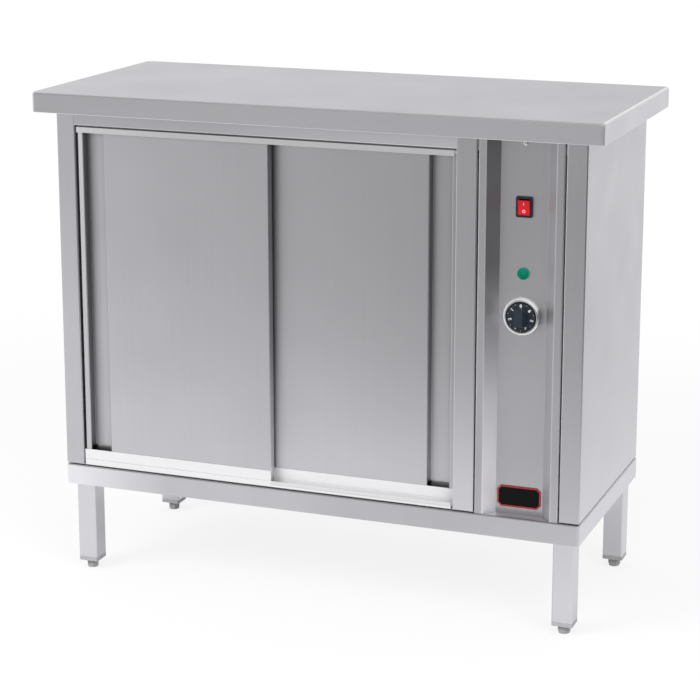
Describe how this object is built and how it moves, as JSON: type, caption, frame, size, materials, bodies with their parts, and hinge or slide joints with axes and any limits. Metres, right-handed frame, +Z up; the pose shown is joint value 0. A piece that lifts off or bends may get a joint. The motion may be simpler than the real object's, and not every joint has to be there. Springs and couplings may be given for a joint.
{
  "type": "plate warmer",
  "caption": "Heated plate cabinet on legs, folded from stainless sheet, with sliding doors that have full-height finger pulls, a slotted shelf and a recessed control column.",
  "frame": {"origin": "on the floor under the middle of the worktop", "axes": "+X to the user's right across the doors, +Y from the doors to the back, +Z up"},
  "size_m": [1, 0.45, 0.865],
  "materials": {
    "steel_worktop": "fine brushed stainless",
    "steel_body": "fine brushed stainless",
    "steel_side": "fine brushed stainless",
    "steel_control": "fine brushed stainless",
    "steel_base": "fine brushed stainless",
    "steel_door": "fine brushed stainless",
    "steel_leg": "fine brushed stainless",
    "steel_back": "mill stainless",
    "steel_liner": "mill stainless",
    "bright_rail": "bright anodised",
    "bright_track": "bright anodised",
    "zinc_steel": "zinc plated",
    "screw_steel": "bright stainless",
    "element_sheath": "heat-darkened steel sheath",
    "mineral_wool": "matt felted wool",
    "seal_rubber": "matt",
    "nylon": "plain nylon",
    "switch_plastic": "satin black",
    "rocker_red": "gloss red",
    "lamp_rim": "gloss green",
    "lens_green": "gloss green lens",
    "chrome_ring": "bright chrome",
    "knob_plastic": "satin black",
    "housing_plastic": "moulded",
    "copper": "plain copper",
    "plate_black": "black with a red rim",
    "terminal_plastic": "moulded",
    "gland_plastic": "moulded",
    "cap_plastic": "moulded",
    "foot_plastic": "moulded"
  },
  "bodies": {
    "cabinet": {"worktop": "steel_worktop", "left_side_panel": "steel_body", "right_side_panel": "steel_side", "center_stile": "steel_body", "header_rail": "steel_body", "control_panel": "steel_control", "base_tray": "steel_base", "sill_track": "bright_track", "upper_track": "bright_track", "back_panel": "steel_back", "cabinet_floor": "steel_liner", "left_liner": "steel_liner", "rear_liner": "steel_liner", "roof_liner": "steel_liner", "partition": "steel_liner", "mid_shelf": "steel_liner", "shelf_rails": "steel_liner", "heater_deck": "steel_liner", "element_supports": "zinc_steel", "heating_element": "element_sheath", "worktop_stiffeners": "zinc_steel", "panel_bracket": "zinc_steel", "leg_nuts": "zinc_steel", "panel_screws": "screw_steel", "bulb_clips": "zinc_steel", "insulation": "mineral_wool", "floor_seal": "seal_rubber", "switch_body": "switch_plastic", "lamp_body": "lamp_rim", "lamp_lens": "lens_green", "dial_bezel": "chrome_ring", "thermostat_body": "housing_plastic", "thermostat_bulb": "copper", "nameplate": "plate_black", "terminal_block": "terminal_plastic", "cable_gland": "gland_plastic", "front_left_leg": "steel_leg", "front_left_leg_cap": "cap_plastic", "front_right_leg": "steel_leg", "front_right_leg_cap": "cap_plastic", "rear_left_leg": "steel_leg", "rear_left_leg_cap": "cap_plastic", "rear_right_leg": "steel_leg", "rear_right_leg_cap": "cap_plastic"},
    "left_door": {"left_door_skin": "steel_door", "left_door_back": "steel_liner", "left_door_rail": "bright_rail", "left_door_glides": "nylon"},
    "right_door": {"right_door_skin": "steel_door", "right_door_back": "steel_liner", "right_door_rail": "bright_rail", "right_door_glides": "nylon"},
    "knob": {"thermostat_knob": "knob_plastic", "thermostat_shaft": "zinc_steel"},
    "rocker": {"switch_rocker": "rocker_red"},
    "front_left_foot": {"front_left_foot": "foot_plastic"},
    "front_right_foot": {"front_right_foot": "foot_plastic"},
    "rear_left_foot": {"rear_left_foot": "foot_plastic"},
    "rear_right_foot": {"rear_right_foot": "foot_plastic"}
  },
  "joints": [
    {"name": "left_door_slide", "type": "slide", "parent": "cabinet", "child": "left_door", "axis": [1, 0, 0], "range_m": [0, 0.32]},
    {"name": "right_door_slide", "type": "slide", "parent": "cabinet", "child": "right_door", "axis": [1, 0, 0], "range_m": [-0.32, 0]},
    {"name": "knob_turn", "type": "hinge", "parent": "cabinet", "child": "knob", "pos_m": [0.36025, -0.177, 0.5375], "axis": [0, 1, 0], "range_deg": [0, 308]},
    {"name": "rocker_tip", "type": "hinge", "parent": "cabinet", "child": "rocker", "pos_m": [0.36025, -0.174, 0.717], "axis": [1, 0, 0], "range_deg": [-14, 0]},
    {"name": "front_left_foot_turn", "type": "hinge", "parent": "cabinet", "child": "front_left_foot", "pos_m": [-0.439, -0.165, 0.018], "axis": [0, 0, 1], "continuous": true},
    {"name": "front_right_foot_turn", "type": "hinge", "parent": "cabinet", "child": "front_right_foot", "pos_m": [0.439, -0.165, 0.018], "axis": [0, 0, 1], "continuous": true},
    {"name": "rear_left_foot_turn", "type": "hinge", "parent": "cabinet", "child": "rear_left_foot", "pos_m": [-0.439, 0.175, 0.018], "axis": [0, 0, 1], "continuous": true},
    {"name": "rear_right_foot_turn", "type": "hinge", "parent": "cabinet", "child": "rear_right_foot", "pos_m": [0.439, 0.175, 0.018], "axis": [0, 0, 1], "continuous": true}
  ]
}
